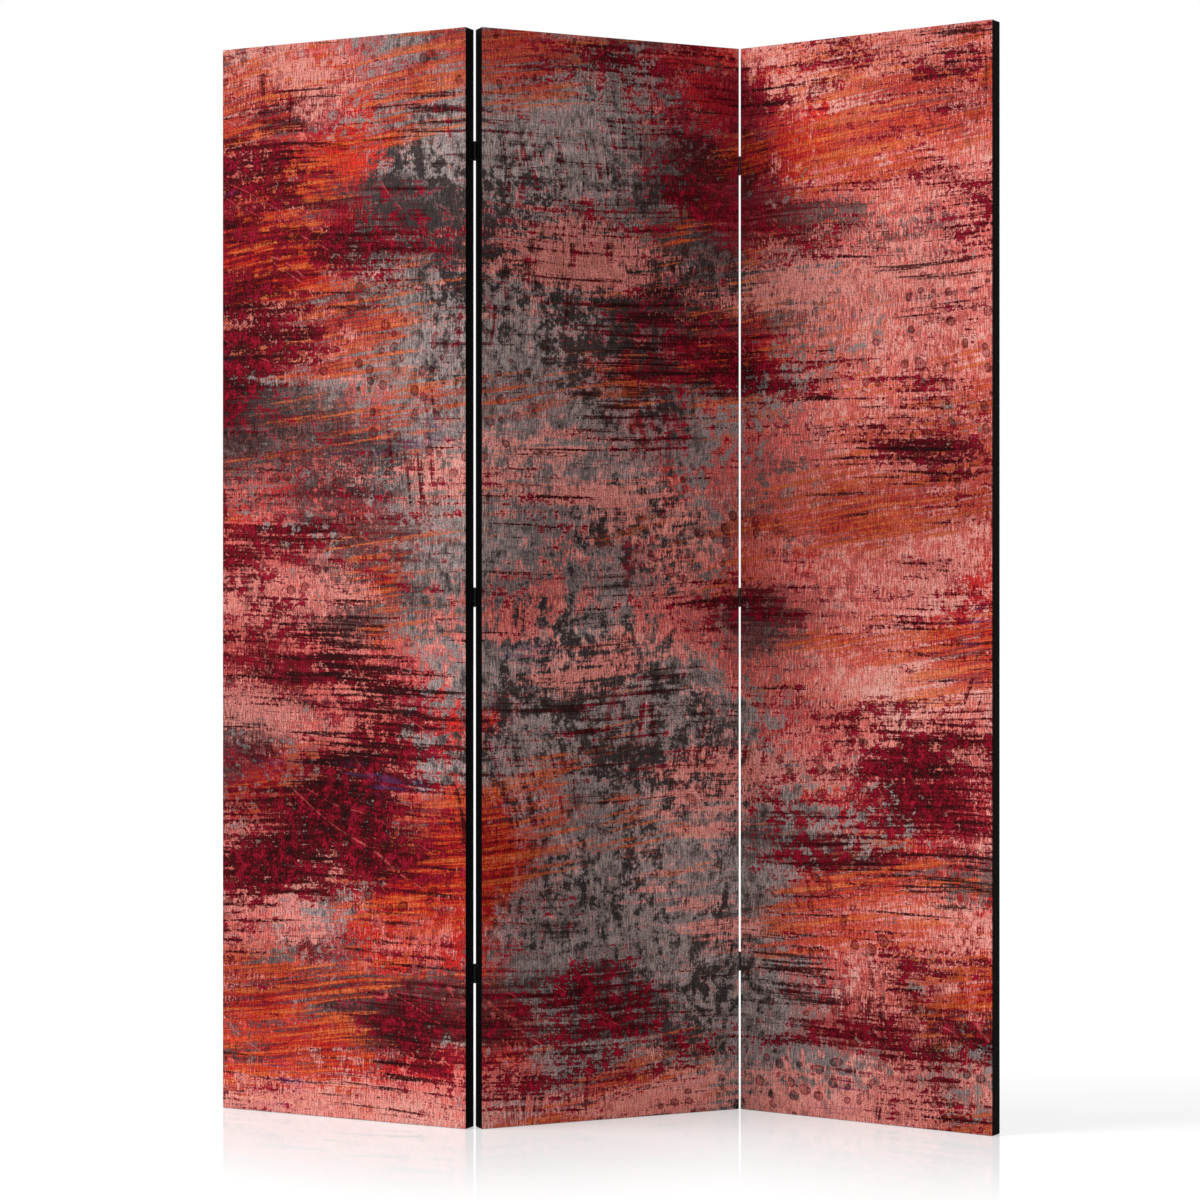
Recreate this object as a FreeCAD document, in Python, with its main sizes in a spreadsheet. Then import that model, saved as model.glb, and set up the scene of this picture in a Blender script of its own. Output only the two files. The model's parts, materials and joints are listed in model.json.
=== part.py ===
import FreeCAD, Part
import math
import os
import Sketcher

# A three-panel folding screen: printed canvas on pine stretcher frames, joined by small butt hinges.
# Millimetres. The centre panel stands square to the axes: x along its width, the print faces -y, z up.

doc = FreeCAD.newDocument("folding_screen")
sizes = doc.addObject("Spreadsheet::Sheet", "Sizes")

SIZES = [
    # The panels and their angles as they stand, measured from flat.
    ("panel_width", 450),
    ("panel_height", 1720),
    ("panel_depth", 27),
    ("left_fold_angle", 50.4),
    ("right_fold_angle", 57.6),
    # Canvas and back cover.
    ("canvas_sheet", 0.6),
    ("canvas_round", 1.0),
    ("turn_in", 24),
    ("cover_sheet", 0.6),
    ("cover_inset", 3),
    # Stretcher bars and their corner joints.
    ("bar_face", 40),
    ("bead_face", 8),
    ("bevel_drop", 3),
    ("tongue_depth", 8),
    # Cross bars.
    ("cross_rise", 573),
    ("cross_drop", 573),
    ("cross_face", 40),
    ("cross_depth", 15),
    ("tenon_face", 28),
    ("tenon_depth", 7),
    ("tenon_reach", 18),
    ("tenon_play", 0.2),
    # Hinges.
    ("hinge_rise", 240),
    ("hinge_middle", 830),
    ("hinge_drop", 190),
    ("hinge_tall", 30),
    ("leaf_sheet", 0.7),
    ("leaf_width", 16),
    ("leaf_corner", 2.5),
    ("leaf_play", 0.1),
    ("axis_proud", 0.9),
    ("middle_knuckle", 10),
    ("knuckle_play", 0.2),
    ("pin_diameter", 1.3),
    ("pin_play", 0.05),
    ("pin_head", 2.4),
    ("pin_crown", 1.6),
    ("pin_head_rise", 0.6),
    # Hinge screws.
    ("screw_pitch", 18),
    ("screw_reach", 9.5),
    ("screw_head", 5.0),
    ("screw_shank", 2.5),
    ("screw_length", 14),
    ("screw_tip", 3),
    ("screw_play", 0.05),
    ("recess_width", 2.6),
    ("recess_slot", 0.6),
    ("recess_depth", 0.8),
]
for row, (alias, number) in enumerate(SIZES, 1):
    sizes.set(f"A{row}", alias)
    sizes.set(f"B{row}", str(number))
    sizes.setAlias(f"B{row}", alias)
doc.recompute()

# Values that follow from the sizes above, worked out once for every piece that shares them.
fits = doc.addObject("App::VarSet", "Fits")
FITS = [
    ("canvas_depth", "Sizes.panel_depth - Sizes.cover_sheet"),
    ("bar_depth", "Fits.canvas_depth - 2 * Sizes.canvas_sheet"),
    ("tongue_front", "(Fits.bar_depth - Sizes.tongue_depth) / 2"),
    ("tongue_back", "(Fits.bar_depth + Sizes.tongue_depth) / 2"),
    ("stile_length", "Sizes.panel_height - 2 * Sizes.canvas_sheet"),
    ("rail_length", "Sizes.panel_width - 2 * Sizes.canvas_sheet"),
    ("tenon_middle", "Fits.bar_depth - Sizes.cross_depth / 2"),
    ("bore", "Sizes.pin_diameter / 2 + Sizes.pin_play"),
    ("barrel", "Fits.bore + Sizes.leaf_sheet"),
    ("leaf_inner", "Sizes.leaf_play / 2"),
    ("leaf_outer", "Fits.leaf_inner + Sizes.leaf_sheet"),
    ("axis_across", "Sizes.panel_width / 2 + Fits.leaf_outer"),
    ("axis_back", "Sizes.panel_depth / 2 + Sizes.axis_proud"),
    ("front", "-Sizes.panel_depth / 2"),
    ("frame_front", "Fits.front + Sizes.canvas_sheet"),
    ("frame_side", "Sizes.panel_width / 2 - Sizes.canvas_sheet"),
    ("screw_back", "Fits.axis_back - Sizes.screw_reach"),
    ("canvas_hole", "Sizes.screw_head / 2 - Sizes.leaf_sheet + Sizes.screw_play"),
    ("pilot_hole", "Sizes.screw_shank / 2 + Sizes.screw_play"),
    ("pilot_depth", "Sizes.screw_length - Sizes.leaf_sheet - Sizes.canvas_sheet + Sizes.screw_play"),
]
for name, rule in FITS:
    fits.addProperty("App::PropertyFloat", name)
    fits.setExpression(name, rule)
    doc.recompute()


def place(x, y, z, axis=(0, 0, 1), angle="0"):
    """Expression for a placement at x, y, z turned by angle about axis."""
    spot = f"create(<<vector>>; {x}; {y}; {z})"
    turn = f"create(<<rotation>>; create(<<vector>>; {axis[0]}; {axis[1]}; {axis[2]}); {angle})"
    return f"create(<<placement>>; {spot}; {turn})"


# Where each panel stands: the side panels are turned about the axes of their folds.
def folded(side, fold):
    """Placement of the panel on side -1 or 1 of the centre panel, turned by fold about their shared axis."""
    x = f"{side} * (Fits.axis_across * (1 + cos({fold})) + Fits.axis_back * sin({fold}))"
    y = f"{-side} * (Fits.axis_across * sin({fold}) + Fits.axis_back * (1 - cos({fold})))"
    return place(x, y, "0", angle=f"-{fold}")


PANELS = {
    "left": folded(-1, "Sizes.left_fold_angle"),
    "centre": place("0", "0", "0"),
    "right": folded(1, "Sizes.right_fold_angle"),
}
for panel, rule in PANELS.items():
    fits.addProperty("App::PropertyPlacement", f"{panel}_panel")
    fits.setExpression(f"{panel}_panel", rule)
doc.recompute()

pieces = []


def value(rule):
    return float(sizes.evalExpression(rule))


def new_body(label):
    body = doc.addObject("PartDesign::Body", label)
    body.Label = label
    pieces.append(body)
    return body


def new_sketch(body, name, role, lift=None):
    """Sketch on one of the body's own planes, moved along the plane's normal by lift."""
    sketch = body.newObject("Sketcher::SketchObject", name)
    base = [feature for feature in body.Origin.OriginFeatures if feature.Role == role][0]
    sketch.AttachmentSupport = [(base, "")]
    sketch.MapMode = "FlatFace"
    if lift:
        sketch.setExpression("AttachmentOffset.Base.z", lift)
    return sketch


def pin_point(sketch, line, end, x, y):
    """Hold the end of a line, or the centre of a circle, at x, y from the sketch's origin."""
    for kind, rule, axis in (("DistanceX", x, -2), ("DistanceY", y, -1)):
        if rule == "0":
            sketch.addConstraint(Sketcher.Constraint("PointOnObject", line, end, axis))
        else:
            index = sketch.addConstraint(Sketcher.Constraint(kind, -1, 1, line, end, value(rule)))
            sketch.setExpression(f"Constraints[{index}]", rule)


def draw_polygon(sketch, corners):
    points = [FreeCAD.Vector(value(x), value(y), 0) for x, y in corners]
    first = sketch.GeometryCount
    count = len(points)
    for i in range(count):
        sketch.addGeometry(Part.LineSegment(points[i], points[(i + 1) % count]), False)
    for i in range(count):
        sketch.addConstraint(Sketcher.Constraint("Coincident", first + i, 2, first + (i + 1) % count, 1))
    for i, (x, y) in enumerate(corners):
        pin_point(sketch, first + i, 1, x, y)


def draw_rectangle(sketch, left, low, right, high):
    draw_polygon(sketch, [(left, low), (right, low), (right, high), (left, high)])


def draw_circle(sketch, x, y, radius):
    centre = FreeCAD.Vector(value(x), value(y), 0)
    index = sketch.addGeometry(Part.Circle(centre, FreeCAD.Vector(0, 0, 1), value(radius)), False)
    pin_point(sketch, index, 3, x, y)
    rule = sketch.addConstraint(Sketcher.Constraint("Radius", index, value(radius)))
    sketch.setExpression(f"Constraints[{rule}]", radius)


def add_feature(body, kind, name, sketch, length=None, both_ways=False, reverse=False):
    """Pad or Pocket of the sketch; a Pocket without a length goes right through."""
    before = 0 if body.Tip is None else body.Shape.Volume
    feature = body.newObject(f"PartDesign::{kind}", name)
    feature.Profile = sketch
    if length:
        feature.setExpression("Length", length)
    else:
        feature.Type = "ThroughAll"
    feature.Midplane = both_ways
    feature.Reversed = reverse
    doc.recompute()
    change = body.Shape.Volume - before
    if (change > 0) != (kind == "Pad"):
        raise RuntimeError(f"{body.Label} {name}: volume changed by {change:.3f}")
    return feature


def edge_names(shape, wanted):
    """Names of the edges whose two ends pass the test."""
    names = []
    for index, edge in enumerate(shape.Edges, 1):
        start, end = [vertex.Point for vertex in edge.Vertexes]
        if wanted(start, end):
            names.append(f"Edge{index}")
    return names


def add_fillet(body, name, base, edges, radius):
    feature = body.newObject("PartDesign::Fillet", name)
    feature.Base = (base, edges)
    feature.setExpression("Radius", radius)
    doc.recompute()
    return feature


# Stretcher bars. A bar runs up z from 0, its outer edge at x = 0 and its front at y = 0.
def stretcher_bar(label, length):
    body = new_body(label)
    section = new_sketch(body, "section", "XY_Plane")
    draw_polygon(section, [
        ("0", "0"),
        ("Sizes.bead_face", "0"),
        ("Sizes.bar_face", "Sizes.bevel_drop"),
        ("Sizes.bar_face", "Fits.bar_depth"),
        ("0", "Fits.bar_depth"),
    ])
    add_feature(body, "Pad", "bar", section, length)
    return body


def draw_mitres(sketch, length):
    face = "Sizes.bar_face"
    draw_polygon(sketch, [("0", "0"), (face, "0"), (face, face)])
    draw_polygon(sketch, [("0", length), (face, length), (face, f"{length} - {face}")])


def make_stile(label, heights, holes):
    """Upright bar: open slots at its ends, mortises at the heights and pilot holes at the hinge screws."""
    length = "Fits.stile_length"
    body = stretcher_bar(label, length)
    mitres = new_sketch(body, "mitres", "XZ_Plane")
    draw_mitres(mitres, length)
    add_feature(body, "Pocket", "mitre_cut", mitres)
    slots = new_sketch(body, "slots", "YZ_Plane")
    draw_rectangle(slots, "Fits.tongue_front", "0", "Fits.tongue_back", "Sizes.bar_face")
    draw_rectangle(slots, "Fits.tongue_front", f"{length} - Sizes.bar_face", "Fits.tongue_back", length)
    add_feature(body, "Pocket", "slot_cut", slots, reverse=True)
    mortises = new_sketch(body, "mortises", "YZ_Plane", "Sizes.bar_face")
    front, back = "Fits.tenon_middle - Sizes.tenon_depth / 2", "Fits.tenon_middle + Sizes.tenon_depth / 2"
    for height in heights:
        low, high = f"{height} - Sizes.tenon_face / 2", f"{height} + Sizes.tenon_face / 2"
        draw_rectangle(mortises, front, low, back, high)
    add_feature(body, "Pocket", "mortise_cut", mortises, "Sizes.tenon_reach + Sizes.tenon_play")
    if holes:
        pilots = new_sketch(body, "pilots", "YZ_Plane")
        for across, height in holes:
            draw_circle(pilots, across, height, "Fits.pilot_hole")
        add_feature(body, "Pocket", "pilot_cut", pilots, "Fits.pilot_depth", reverse=True)
    return body


def make_rail(label):
    """Level bar: the front and back of each end are mitred away and leave the tongue between them."""
    length = "Fits.rail_length"
    body = stretcher_bar(label, length)
    front = new_sketch(body, "front_mitres", "XZ_Plane")
    draw_mitres(front, length)
    add_feature(body, "Pocket", "front_mitre_cut", front, "Fits.tongue_front")
    back = new_sketch(body, "back_mitres", "XZ_Plane", "-Fits.tongue_back")
    draw_mitres(back, length)
    add_feature(body, "Pocket", "back_mitre_cut", back)
    return body


def make_cross_bar(label):
    """Bar across the panel with a tenon at each end, its back flush with the back of the stiles."""
    body = new_body(label)
    section = new_sketch(body, "section", "YZ_Plane")
    draw_rectangle(section, "-Sizes.cross_depth / 2", "-Sizes.cross_face / 2",
                   "Sizes.cross_depth / 2", "Sizes.cross_face / 2")
    between = "Fits.rail_length - 2 * Sizes.bar_face"
    add_feature(body, "Pad", "bar", section, between, both_ways=True)
    tenons = new_sketch(body, "tenons", "YZ_Plane")
    draw_rectangle(tenons, "-Sizes.tenon_depth / 2", "-Sizes.tenon_face / 2",
                   "Sizes.tenon_depth / 2", "Sizes.tenon_face / 2")
    add_feature(body, "Pad", "tenon_pair", tenons, f"{between} + 2 * Sizes.tenon_reach", both_ways=True)
    return body


# Cloth. Both pieces are drawn about the middle of the panel's foot.
def make_canvas(label, sides):
    """Sheet over the front, wrapped round the edges, turned in on the back and pierced by hinge screws."""
    body = new_body(label)
    outline = new_sketch(body, "outline", "XY_Plane")
    draw_rectangle(outline, "-Sizes.panel_width / 2", "Fits.front",
                   "Sizes.panel_width / 2", "Fits.front + Fits.canvas_depth")
    block = add_feature(body, "Pad", "block", outline, "Sizes.panel_height")
    rims = edge_names(block.Shape, lambda start, end: abs(start.y - end.y) < 0.001)
    add_fillet(body, "soft_rims", block, rims, "Sizes.canvas_round")
    inside = new_sketch(body, "inside", "XZ_Plane", "-Fits.frame_front")
    draw_rectangle(inside, "-Fits.frame_side", "Sizes.canvas_sheet",
                   "Fits.frame_side", "Sizes.panel_height - Sizes.canvas_sheet")
    add_feature(body, "Pocket", "inside_cut", inside, "Fits.bar_depth")
    opening = new_sketch(body, "opening", "XZ_Plane", "-Fits.frame_front")
    draw_rectangle(opening, "Sizes.turn_in - Sizes.panel_width / 2", "Sizes.turn_in",
                   "Sizes.panel_width / 2 - Sizes.turn_in", "Sizes.panel_height - Sizes.turn_in")
    add_feature(body, "Pocket", "opening_cut", opening)
    for side, across in sides.items():
        lift = "Sizes.panel_width / 2" if side == "right" else "-Sizes.panel_width / 2"
        holes = new_sketch(body, f"{side}_holes", "YZ_Plane", lift)
        for height in screw_heights():
            draw_circle(holes, across, height, "Fits.canvas_hole")
        add_feature(body, "Pocket", f"{side}_hole_cut", holes, "Sizes.canvas_sheet", reverse=side == "left")
    return body


def make_back_cover(label):
    box = doc.addObject("Part::Box", label)
    box.Label = label
    box.setExpression("Length", "Sizes.panel_width - 2 * Sizes.cover_inset")
    box.setExpression("Width", "Sizes.cover_sheet")
    box.setExpression("Height", "Sizes.panel_height - 2 * Sizes.cover_inset")
    pieces.append(box)
    return box


# Hinges. The pin is the z axis; the leaf lies on the panel's edge at x = leaf_outer and reaches away along y.
def make_leaf(label, holds_pin):
    """Rolled leaf with either the two outer knuckles, which hold the pin, or the middle one."""
    body = new_body(label)
    plate = new_sketch(body, "plate", "XY_Plane")
    draw_rectangle(plate, "Fits.leaf_inner", "0", "Fits.leaf_outer", "Sizes.leaf_width")
    plate_pad = add_feature(body, "Pad", "plate_pad", plate, "Sizes.hinge_tall", both_ways=True)
    far = value("Sizes.leaf_width") - 0.01
    across = edge_names(plate_pad.Shape, lambda start, end: abs(start.x - end.x) > 0.001)
    corners = [name for name in across if plate_pad.Shape.getElement(name).CenterOfMass.y > far]
    add_fillet(body, "plate_corners", plate_pad, corners, "Sizes.leaf_corner")
    barrel = new_sketch(body, "barrel", "XY_Plane")
    draw_circle(barrel, "0", "0", "Fits.barrel")
    add_feature(body, "Pad", "barrel_pad", barrel, "Sizes.hinge_tall", both_ways=True)
    bore = new_sketch(body, "bore", "XY_Plane")
    draw_circle(bore, "0", "0", "Fits.bore")
    add_feature(body, "Pocket", "bore_cut", bore, both_ways=True)
    gaps = new_sketch(body, "gaps", "YZ_Plane")
    near = "-2 * Fits.barrel"
    clear = "Fits.barrel + Sizes.knuckle_play"
    if holds_pin:
        half = "(Sizes.middle_knuckle / 2 + Sizes.knuckle_play)"
        draw_rectangle(gaps, near, f"-{half}", clear, half)
    else:
        half = "Sizes.middle_knuckle / 2"
        draw_rectangle(gaps, near, half, clear, "Sizes.hinge_tall")
        draw_rectangle(gaps, near, "-Sizes.hinge_tall", clear, f"-{half}")
    add_feature(body, "Pocket", "knuckle_cut", gaps, both_ways=True)
    make_countersinks(body)
    return body


def make_countersinks(body):
    """Countersunk screw holes, sunk from the side of the leaf that faces its mate."""
    centres = new_sketch(body, "screw_centres", "YZ_Plane", "Fits.leaf_inner")
    for sign in ("-", ""):
        draw_circle(centres, "Sizes.screw_reach", f"{sign}Sizes.screw_pitch / 2", "Sizes.screw_shank / 2")
    before = body.Shape.Volume
    hole = body.newObject("PartDesign::Hole", "countersinks")
    hole.Profile = centres
    hole.Threaded = False
    hole.DepthType = "ThroughAll"
    hole.setExpression("Diameter", "Sizes.screw_shank + 2 * Sizes.screw_play")
    hole.HoleCutType = "Countersink"
    hole.HoleCutCustomValues = True
    hole.setExpression("HoleCutDiameter", "Sizes.screw_head + 2 * Sizes.screw_play")
    hole.HoleCutCountersinkAngle = 90
    hole.Reversed = True
    doc.recompute()
    if body.Shape.Volume >= before:
        raise RuntimeError(f"{body.Label}: the countersinks missed the leaf")


def make_pin(label):
    """Pin turned about z, with a tapered head riveted on each end of the barrel."""
    body = new_body(label)
    profile = new_sketch(body, "profile", "XZ_Plane")
    shaft = "Sizes.pin_diameter / 2"
    head = "Sizes.pin_head / 2"
    crown = "Sizes.pin_crown / 2"
    half = "Sizes.hinge_tall / 2"
    top = "(Sizes.hinge_tall / 2 + Sizes.pin_head_rise)"
    draw_polygon(profile, [
        ("0", f"-{top}"),
        (crown, f"-{top}"),
        (head, f"-{half}"),
        (shaft, f"-{half}"),
        (shaft, half),
        (head, half),
        (crown, top),
        ("0", top),
    ])
    turned = body.newObject("PartDesign::Revolution", "turned")
    turned.Profile = profile
    turned.ReferenceAxis = (profile, ["V_Axis"])
    turned.Angle = 360
    doc.recompute()
    return body


# Screws. A group is one node of separate solids, drawn where they stand on their panel.
def screw_solid():
    """Countersunk wood screw along +x with its head's flat at x = 0 and a cross recess."""
    head = value("Sizes.screw_head") / 2
    shank = value("Sizes.screw_shank") / 2
    length = value("Sizes.screw_length")
    neck = length - value("Sizes.screw_tip")
    outline = [(0, 0), (0, head), (head - shank, shank), (neck, shank), (length, 0), (0, 0)]
    wire = Part.makePolygon([FreeCAD.Vector(x, y, 0) for x, y in outline])
    screw = Part.Face(wire).revolve(FreeCAD.Vector(0, 0, 0), FreeCAD.Vector(1, 0, 0), 360)
    wide = value("Sizes.recess_width")
    slot = value("Sizes.recess_slot")
    deep = value("Sizes.recess_depth")
    level = Part.makeBox(deep, wide, slot, FreeCAD.Vector(0, -wide / 2, -slot / 2))
    upright = Part.makeBox(deep, slot, wide, FreeCAD.Vector(0, -slot / 2, -wide / 2))
    return screw.cut(level.fuse(upright))


def make_screws(label, edge):
    screw = screw_solid()
    solids = []
    for height in HINGE_HEIGHTS.values():
        leaf = sizes.evalExpression(leaf_place(edge, height))
        for rise in (-value("Sizes.screw_pitch") / 2, value("Sizes.screw_pitch") / 2):
            spot = FreeCAD.Vector(value("Fits.leaf_inner"), value("Sizes.screw_reach"), rise)
            copy = screw.copy()
            copy.Placement = leaf * FreeCAD.Placement(spot, FreeCAD.Rotation())
            solids.append(copy)
    group = doc.addObject("Part::Feature", label)
    group.Label = label
    group.Shape = Part.makeCompound(solids)
    pieces.append(group)
    return group


HINGE_HEIGHTS = {
    "top": "(Sizes.panel_height - Sizes.hinge_drop)",
    "middle": "Sizes.hinge_middle",
    "bottom": "Sizes.hinge_rise",
}

# The hinged edges: panel, where the pin stands on it and the half turn that lays the leaf on that edge.
EDGES = {
    "left_fold_side": ("left", "Fits.axis_across", "Fits.axis_back", (0, 0, 1), "180"),
    "left_fold_centre": ("centre", "-Fits.axis_across", "Fits.axis_back", (1, 0, 0), "180"),
    "right_fold_centre": ("centre", "Fits.axis_across", "-Fits.axis_back", (0, 1, 0), "180"),
    "right_fold_side": ("right", "-Fits.axis_across", "-Fits.axis_back", (0, 0, 1), "0"),
}


def leaf_place(edge, height):
    panel, x, y, axis, angle = EDGES[edge]
    return place(x, y, height, axis, angle)


def screw_heights():
    return [f"{height} {sign} Sizes.screw_pitch / 2" for height in HINGE_HEIGHTS.values() for sign in "+-"]


def stand(piece, panel, spot):
    """Stand the piece at a spot of its panel."""
    piece.setExpression("Placement", f"Fits.{panel}_panel * {spot}")


# Panels: which edges carry hinges, and where along the panel's depth their screws go.
HINGED = {
    "left": {"right": "Fits.screw_back"},
    "centre": {"left": "Fits.screw_back", "right": "-Fits.screw_back"},
    "right": {"left": "-Fits.screw_back"},
}
CROSS_BARS = {"upper": "(Sizes.panel_height - Sizes.cross_drop)", "lower": "Sizes.cross_rise"}
BOTTOM = "Sizes.canvas_sheet"
TOP = "(Sizes.panel_height - Sizes.canvas_sheet)"

# The four bars of a frame: the corner each starts from and its turn about the panel's depth.
CORNERS = {
    "left_stile": ("-Fits.frame_side", BOTTOM, "0"),
    "top_rail": ("-Fits.frame_side", TOP, "90"),
    "right_stile": ("Fits.frame_side", TOP, "180"),
    "bottom_rail": ("Fits.frame_side", BOTTOM, "-90"),
}


def along_stile(side, height):
    """Distance along a stile of a height on the panel: a right stile is turned over and runs down."""
    return f"{height} - {BOTTOM}" if side == "left" else f"{TOP} - ({height})"


for panel, sides in HINGED.items():
    name = f"{panel}_panel"
    for bar, (x, z, turn) in CORNERS.items():
        if bar.endswith("rail"):
            piece = make_rail(f"{name}_{bar}")
        else:
            side = bar.split("_")[0]
            mortises = [along_stile(side, height) for height in CROSS_BARS.values()]
            holes = []
            if side in sides:
                depth = f"{sides[side]} - Fits.frame_front"
                holes = [(depth, along_stile(side, height)) for height in screw_heights()]
            piece = make_stile(f"{name}_{bar}", mortises, holes)
        stand(piece, panel, place(x, "Fits.frame_front", z, (0, 1, 0), turn))
    for level, height in CROSS_BARS.items():
        cross_bar = make_cross_bar(f"{name}_{level}_cross_bar")
        stand(cross_bar, panel, place("0", "Fits.frame_front + Fits.tenon_middle", height))
    canvas = make_canvas(f"{name}_canvas", sides)
    stand(canvas, panel, place("0", "0", "0"))
    cover = make_back_cover(f"{name}_back_cover")
    stand(cover, panel, place("Sizes.cover_inset - Sizes.panel_width / 2", "Fits.front + Fits.canvas_depth",
                              "Sizes.cover_inset"))

for fold in ("left_fold", "right_fold"):
    for level, height in HINGE_HEIGHTS.items():
        for half in ("side", "centre"):
            edge = f"{fold}_{half}"
            leaf = make_leaf(f"{fold}_{level}_{half}_leaf", half == "centre")
            stand(leaf, EDGES[edge][0], leaf_place(edge, height))
        pin = make_pin(f"{fold}_{level}_pin")
        stand(pin, "centre", leaf_place(f"{fold}_centre", height))
for edge, (panel, *rest) in EDGES.items():
    screws = make_screws(f"{edge}_screws", edge)
    stand(screws, panel, place("0", "0", "0"))
doc.recompute()

for item in doc.Objects:
    if "Invalid" in item.State or "Error" in item.State:
        raise RuntimeError(f"{item.Label} did not compute")
os.makedirs("parts", exist_ok=True)
for piece in pieces:
    if piece.Shape.isNull() or not piece.Shape.isValid():
        raise RuntimeError(f"{piece.Label} has no sound shape")
    piece.Shape.exportStep(f"parts/{piece.Label}.step")

# The tightest running gap between a pin and its bore, and the room between folded panels.
print(f"pieces: {len(pieces)}")
print(f"pin to bore: {value('Fits.bore - Sizes.pin_diameter / 2'):.3f} mm")
print(f"between folded faces: {2 * value('Sizes.axis_proud'):.2f} mm")
rim = value("Sizes.canvas_round")
barrel = value("Fits.barrel")
corner = math.hypot(value("Fits.leaf_outer") + rim, value("Sizes.axis_proud") + rim)
print(f"barrel to cloth: {corner - rim - barrel:.3f} mm")
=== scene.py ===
import json
import math
from functools import partial

import bpy
import numpy as np
from bpy.props import FloatProperty, FloatVectorProperty, PointerProperty
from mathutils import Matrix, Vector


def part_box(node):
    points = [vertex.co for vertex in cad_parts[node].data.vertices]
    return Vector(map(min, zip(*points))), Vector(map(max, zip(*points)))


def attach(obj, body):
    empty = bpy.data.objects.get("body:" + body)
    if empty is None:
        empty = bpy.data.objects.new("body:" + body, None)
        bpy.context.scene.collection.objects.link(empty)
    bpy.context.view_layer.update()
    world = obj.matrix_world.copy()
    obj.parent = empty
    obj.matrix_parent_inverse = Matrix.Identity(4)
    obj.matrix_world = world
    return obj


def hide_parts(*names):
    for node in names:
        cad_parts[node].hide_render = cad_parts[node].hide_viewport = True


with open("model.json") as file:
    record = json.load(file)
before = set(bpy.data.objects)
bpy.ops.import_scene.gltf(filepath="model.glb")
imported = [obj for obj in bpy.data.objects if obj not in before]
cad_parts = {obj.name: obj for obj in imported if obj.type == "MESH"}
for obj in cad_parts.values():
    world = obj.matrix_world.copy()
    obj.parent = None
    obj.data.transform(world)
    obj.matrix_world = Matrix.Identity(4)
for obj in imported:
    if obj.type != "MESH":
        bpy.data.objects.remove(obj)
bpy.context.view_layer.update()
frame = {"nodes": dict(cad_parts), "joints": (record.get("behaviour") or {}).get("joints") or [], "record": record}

bl_info = {
    "name": "Folding Screen",
    "version": (1, 0, 0),
    "blender": (4, 5, 0),
    "location": "View3D > Sidebar > Folding Screen",
    "description": "Dresses a three-panel folding screen: printed canvas, back cloth, staples and hinges",
    "category": "Object",
}

PANELS = ("left_panel", "centre_panel", "right_panel")
UPRIGHTS = ("left_stile", "right_stile")
LEVEL_BARS = ("top_rail", "bottom_rail", "upper_cross_bar", "lower_cross_bar")
FOLDS = ("left_fold", "right_fold")
HINGE_LEVELS = ("top", "middle", "bottom")
HINGE_PARTS = ("side_leaf", "centre_leaf", "pin")

# Where the middle of each panel's bottom edge stands, and its turn from the centre panel.
MOUNTS = {mount["name"]: mount["pos_m"] for mount in frame["record"]["mounts"]}
FOOT = {panel: np.array(MOUNTS["floor_" + panel.split("_")[0]]) for panel in PANELS}
SWUNG = {joint["child"]: math.radians(joint["range_deg"][0]) for joint in frame["joints"]}
TURN = {panel: SWUNG.get(panel, 0.0) for panel in PANELS}

# The centre panel stands square in the frame, so its nodes give the sizes of all three.
CANVAS_LOW, CANVAS_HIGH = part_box("centre_panel_canvas")
COVER_LOW, COVER_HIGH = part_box("centre_panel_back_cover")
PANEL_WIDTH = CANVAS_HIGH.x - CANVAS_LOW.x
PANEL_HEIGHT = CANVAS_HIGH.z - CANVAS_LOW.z
CANVAS_FRONT = CANVAS_LOW.y
CANVAS_BACK = CANVAS_HIGH.y
COVER_BACK = COVER_HIGH.y
COVER_INSET = COVER_LOW.x - CANVAS_LOW.x
BAR_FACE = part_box("centre_panel_bottom_rail")[1].z - CANVAS_LOW.z
LOWER_BAR, UPPER_BAR = (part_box(f"centre_panel_{bar}_cross_bar") for bar in ("lower", "upper"))
BAYS = (
    (BAR_FACE, LOWER_BAR[0].z), (LOWER_BAR[1].z, UPPER_BAR[0].z), (UPPER_BAR[1].z, PANEL_HEIGHT - BAR_FACE)
)
HALF_PANEL = np.array((PANEL_WIDTH / 2, PANEL_HEIGHT / 2))
HALF_COVER = HALF_PANEL - COVER_INSET

# Points of a sheet's ring across, up and round each corner, and half the strip inside its inmost ring.
CANVAS_POINTS = (34, 118, 5)
COVER_POINTS = (60, 300, 3)
MIDDLE_STRIP = 0.006

# Run over which the canvas takes its slack, its ripples' turn in a metre and their share of it.
SLACK_RUN = 0.05
RIPPLE_ACROSS = 9.1
RIPPLE_UP = 5.7
RIPPLE_SHARE = 0.4

# The back cloth's corners, the run of its dip in from a bar, the dip's waves and its puckers' width.
COVER_CORNER = 0.0002
DIP_RUN = 0.018
DIP_WAVE = 0.12
PUCKER_WIDTH = 0.010

# Staples: a leg's bend and length, half the wire's thickness, its oval's power, and the stray and twist.
STAPLE_BEND = 0.0007
STAPLE_LEG = 0.0016
STAPLE_HALF_THICK = 0.0002
STAPLE_OVAL = 0.6
STAPLE_STRAY = 0.0012
STAPLE_TWIST = 0.10

# Corner folds: places across one, its level at each, room left at the canvas's rims, width at the front,
# share of its way over which it rises, and how deep it sits.
FOLD_ACROSS = (0.0, 0.015, 0.05, 0.2, 0.5, 0.8, 0.95, 0.985, 1.0)
FOLD_LEVEL = (-0.3, 0.6, 1.0, 1.0, 1.0, 1.0, 0.9, 0.5, -0.3)
FOLD_MARGIN = 0.0011
FOLD_START = 0.0016
FOLD_LEAD = 0.06
FOLD_SINK = 0.0001

FLOOR_REACH = 30.0
FLOOR_DROP = 0.0004


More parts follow.
